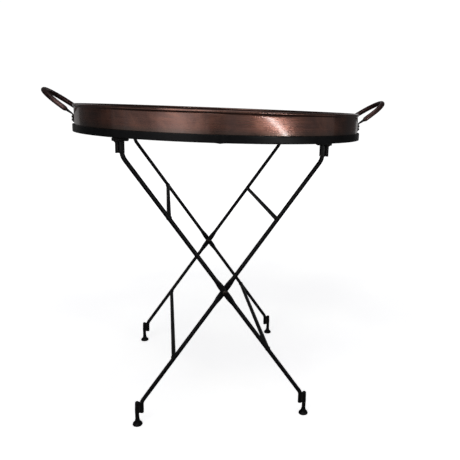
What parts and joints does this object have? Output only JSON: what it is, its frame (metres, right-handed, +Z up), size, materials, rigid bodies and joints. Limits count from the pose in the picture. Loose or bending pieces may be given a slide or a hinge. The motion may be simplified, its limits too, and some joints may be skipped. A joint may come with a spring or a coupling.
{
  "type": "folding tray table",
  "caption": "Round copper tray with two bail handles, resting in a flat-bar ring on a folding scissor stand of thin black iron rod with button feet.",
  "frame": {"origin": "on the floor, under the middle of the ring and the tray", "axes": "+Z up; +X from the left handle's side to the right handle's, square to the pivot pins (the loose tray lies turned by 4.2 degrees in the ring); +Y towards the rear pair of legs"},
  "size_m": [0.6884, 0.57, 0.6151],
  "materials": {
    "aged_copper": "dark antique copper, satin, with a browner band towards the bottom",
    "grip_copper": "dark plum-brown copper tube, worn satin",
    "black_iron": "black paint on iron rod and bar, satin with soft highlights",
    "dark_steel": "blackened steel fasteners"
  },
  "bodies": {
    "frame_a": {"leg_a_front": "black_iron", "foot_rod_a_front": "black_iron", "foot_pad_a_front": "black_iron", "leg_a_rear": "black_iron", "foot_rod_a_rear": "black_iron", "foot_pad_a_rear": "black_iron", "crossbar_a_upper": "black_iron", "crossbar_a_lower": "black_iron", "pivot_rivet_front": "dark_steel", "pivot_rivet_rear": "dark_steel", "pivot_spacer_front": "dark_steel", "pivot_spacer_rear": "dark_steel"},
    "frame_b": {"leg_b_front": "black_iron", "foot_rod_b_front": "black_iron", "foot_pad_b_front": "black_iron", "leg_b_rear": "black_iron", "foot_rod_b_rear": "black_iron", "foot_pad_b_rear": "black_iron", "crossbar_b_upper": "black_iron", "crossbar_b_lower": "black_iron"},
    "ring": {"ring_band": "black_iron", "ring_tab_front_left": "black_iron", "socket_plate_front_left": "black_iron", "leg_channel_front_left": "black_iron", "channel_gusset_front_left": "black_iron", "ring_tab_rear_left": "black_iron", "socket_plate_rear_left": "black_iron", "leg_channel_rear_left": "black_iron", "channel_gusset_rear_left": "black_iron", "ring_tab_front_right": "black_iron", "socket_plate_front_right": "black_iron", "leg_channel_front_right": "black_iron", "channel_gusset_front_right": "black_iron", "ring_tab_rear_right": "black_iron", "socket_plate_rear_right": "black_iron", "leg_channel_rear_right": "black_iron", "channel_gusset_rear_right": "black_iron"},
    "tray": {"tray_pan": "aged_copper", "rim_wire": "dark_steel", "handle_rod_left": "black_iron", "handle_grip_left": "grip_copper", "handle_rod_right": "black_iron", "handle_grip_right": "grip_copper", "rivet_left_front_lower": "dark_steel", "rivet_left_front_upper": "dark_steel", "rivet_left_rear_lower": "dark_steel", "rivet_left_rear_upper": "dark_steel", "rivet_right_front_lower": "dark_steel", "rivet_right_front_upper": "dark_steel", "rivet_right_rear_lower": "dark_steel", "rivet_right_rear_upper": "dark_steel"}
  },
  "joints": [
    {"name": "fold", "type": "hinge", "parent": "frame_a", "child": "frame_b", "pos_m": [-0.0075, 0, 0.26055], "axis": [0, -1, 0], "range_deg": [0, 59]},
    {"name": "ring_lift", "type": "slide", "parent": "frame_a", "child": "ring", "axis": [0, 0, 1], "range_m": [0, 0.21]},
    {"name": "tray_lift", "type": "slide", "parent": "ring", "child": "tray", "axis": [0, 0, 1], "range_m": [0, 0.12]}
  ],
  "couplings": [
    {"joint": "ring_lift", "follows": "fold", "m_per_rad": 0.2}
  ]
}
